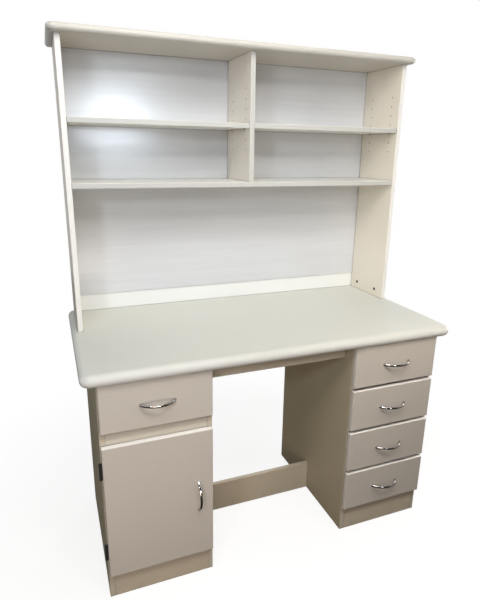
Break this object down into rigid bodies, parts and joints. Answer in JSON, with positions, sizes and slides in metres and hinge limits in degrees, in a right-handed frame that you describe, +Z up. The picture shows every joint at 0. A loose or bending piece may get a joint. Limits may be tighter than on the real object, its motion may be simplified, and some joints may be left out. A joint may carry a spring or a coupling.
{
  "type": "desk",
  "caption": "Student desk with bullnosed top, a cupboard pedestal and a drawer pedestal joined by a low rail, and an open shelf hutch standing on the desktop.",
  "frame": {"origin": "on the floor, at the bottom centre of the desk's bounding box: midway between the desktop's ends and midway between the handles' outermost points and the desktop's rear edge", "axes": "+Z up, front (drawer fronts) towards -Y, +X to the sitter's right"},
  "size_m": [1.22, 0.6, 1.648],
  "materials": {
    "top_laminate": "satin, lightly textured white laminate",
    "hutch_board": "satin white melamine-faced board",
    "carcass_board": "satin off-white melamine-faced board",
    "front_foil": "satin off-white foil with rounded edges",
    "back_panel": "semi-gloss white-faced hardboard",
    "drawer_board": "white melamine-faced board",
    "drawer_base": "white-faced hardboard",
    "chrome_handle": "polished chrome plate",
    "runner_steel": "white epoxy-coated steel",
    "hinge_steel": "black-coated steel",
    "pin_steel": "nickel-plated steel",
    "cam_zinc": "dark zinc alloy",
    "catch_plastic": "white plastic with a magnet inside"
  },
  "bodies": {
    "carcass": {"desktop": "top_laminate", "left_outer_side": "carcass_board", "left_inner_side": "carcass_board", "right_inner_side": "carcass_board", "right_outer_side": "carcass_board", "pedestal_bases": "carcass_board", "plinth_boards": "carcass_board", "pedestal_backs": "back_panel", "top_rails": "carcass_board", "mid_rail": "carcass_board", "cupboard_top": "carcass_board", "cupboard_shelf": "carcass_board", "apron_rail": "carcass_board", "foot_rail": "carcass_board", "cabinet_runners": "runner_steel", "frame_hinge_leaves": "hinge_steel", "door_catch": "catch_plastic", "hutch_left_side": "hutch_board", "hutch_right_side": "hutch_board", "hutch_top": "top_laminate", "hutch_divider": "hutch_board", "hutch_fixed_shelf": "hutch_board", "hutch_adjustable_shelves": "hutch_board", "hutch_back_panel": "back_panel", "hutch_back_rail": "hutch_board", "shelf_pins": "pin_steel", "cam_fittings": "cam_zinc"},
    "left_drawer": {"left_drawer_front": "front_foil", "left_drawer_sides": "drawer_board", "left_drawer_ends": "drawer_board", "left_drawer_bottom": "drawer_base", "left_drawer_runners": "runner_steel", "left_drawer_handle": "chrome_handle"},
    "right_drawer_1": {"right_drawer_1_front": "front_foil", "right_drawer_1_sides": "drawer_board", "right_drawer_1_ends": "drawer_board", "right_drawer_1_bottom": "drawer_base", "right_drawer_1_runners": "runner_steel", "right_drawer_1_handle": "chrome_handle"},
    "right_drawer_2": {"right_drawer_2_front": "front_foil", "right_drawer_2_sides": "drawer_board", "right_drawer_2_ends": "drawer_board", "right_drawer_2_bottom": "drawer_base", "right_drawer_2_runners": "runner_steel", "right_drawer_2_handle": "chrome_handle"},
    "right_drawer_3": {"right_drawer_3_front": "front_foil", "right_drawer_3_sides": "drawer_board", "right_drawer_3_ends": "drawer_board", "right_drawer_3_bottom": "drawer_base", "right_drawer_3_runners": "runner_steel", "right_drawer_3_handle": "chrome_handle"},
    "right_drawer_4": {"right_drawer_4_front": "front_foil", "right_drawer_4_sides": "drawer_board", "right_drawer_4_ends": "drawer_board", "right_drawer_4_bottom": "drawer_base", "right_drawer_4_runners": "runner_steel", "right_drawer_4_handle": "chrome_handle"},
    "door": {"cupboard_door": "front_foil", "door_handle": "chrome_handle", "door_hinge_leaves": "hinge_steel"}
  },
  "joints": [
    {"name": "left_drawer_slide", "type": "slide", "parent": "carcass", "child": "left_drawer", "axis": [0, -1, 0], "range_m": [0, 0.34]},
    {"name": "right_drawer_1_slide", "type": "slide", "parent": "carcass", "child": "right_drawer_1", "axis": [0, -1, 0], "range_m": [0, 0.34]},
    {"name": "right_drawer_2_slide", "type": "slide", "parent": "carcass", "child": "right_drawer_2", "axis": [0, -1, 0], "range_m": [0, 0.34]},
    {"name": "right_drawer_3_slide", "type": "slide", "parent": "carcass", "child": "right_drawer_3", "axis": [0, -1, 0], "range_m": [0, 0.34]},
    {"name": "right_drawer_4_slide", "type": "slide", "parent": "carcass", "child": "right_drawer_4", "axis": [0, -1, 0], "range_m": [0, 0.34]},
    {"name": "door_swing", "type": "hinge", "parent": "carcass", "child": "door", "pos_m": [-0.5734, -0.255, 0.307], "axis": [0, 0, -1], "range_deg": [0, 180]}
  ]
}
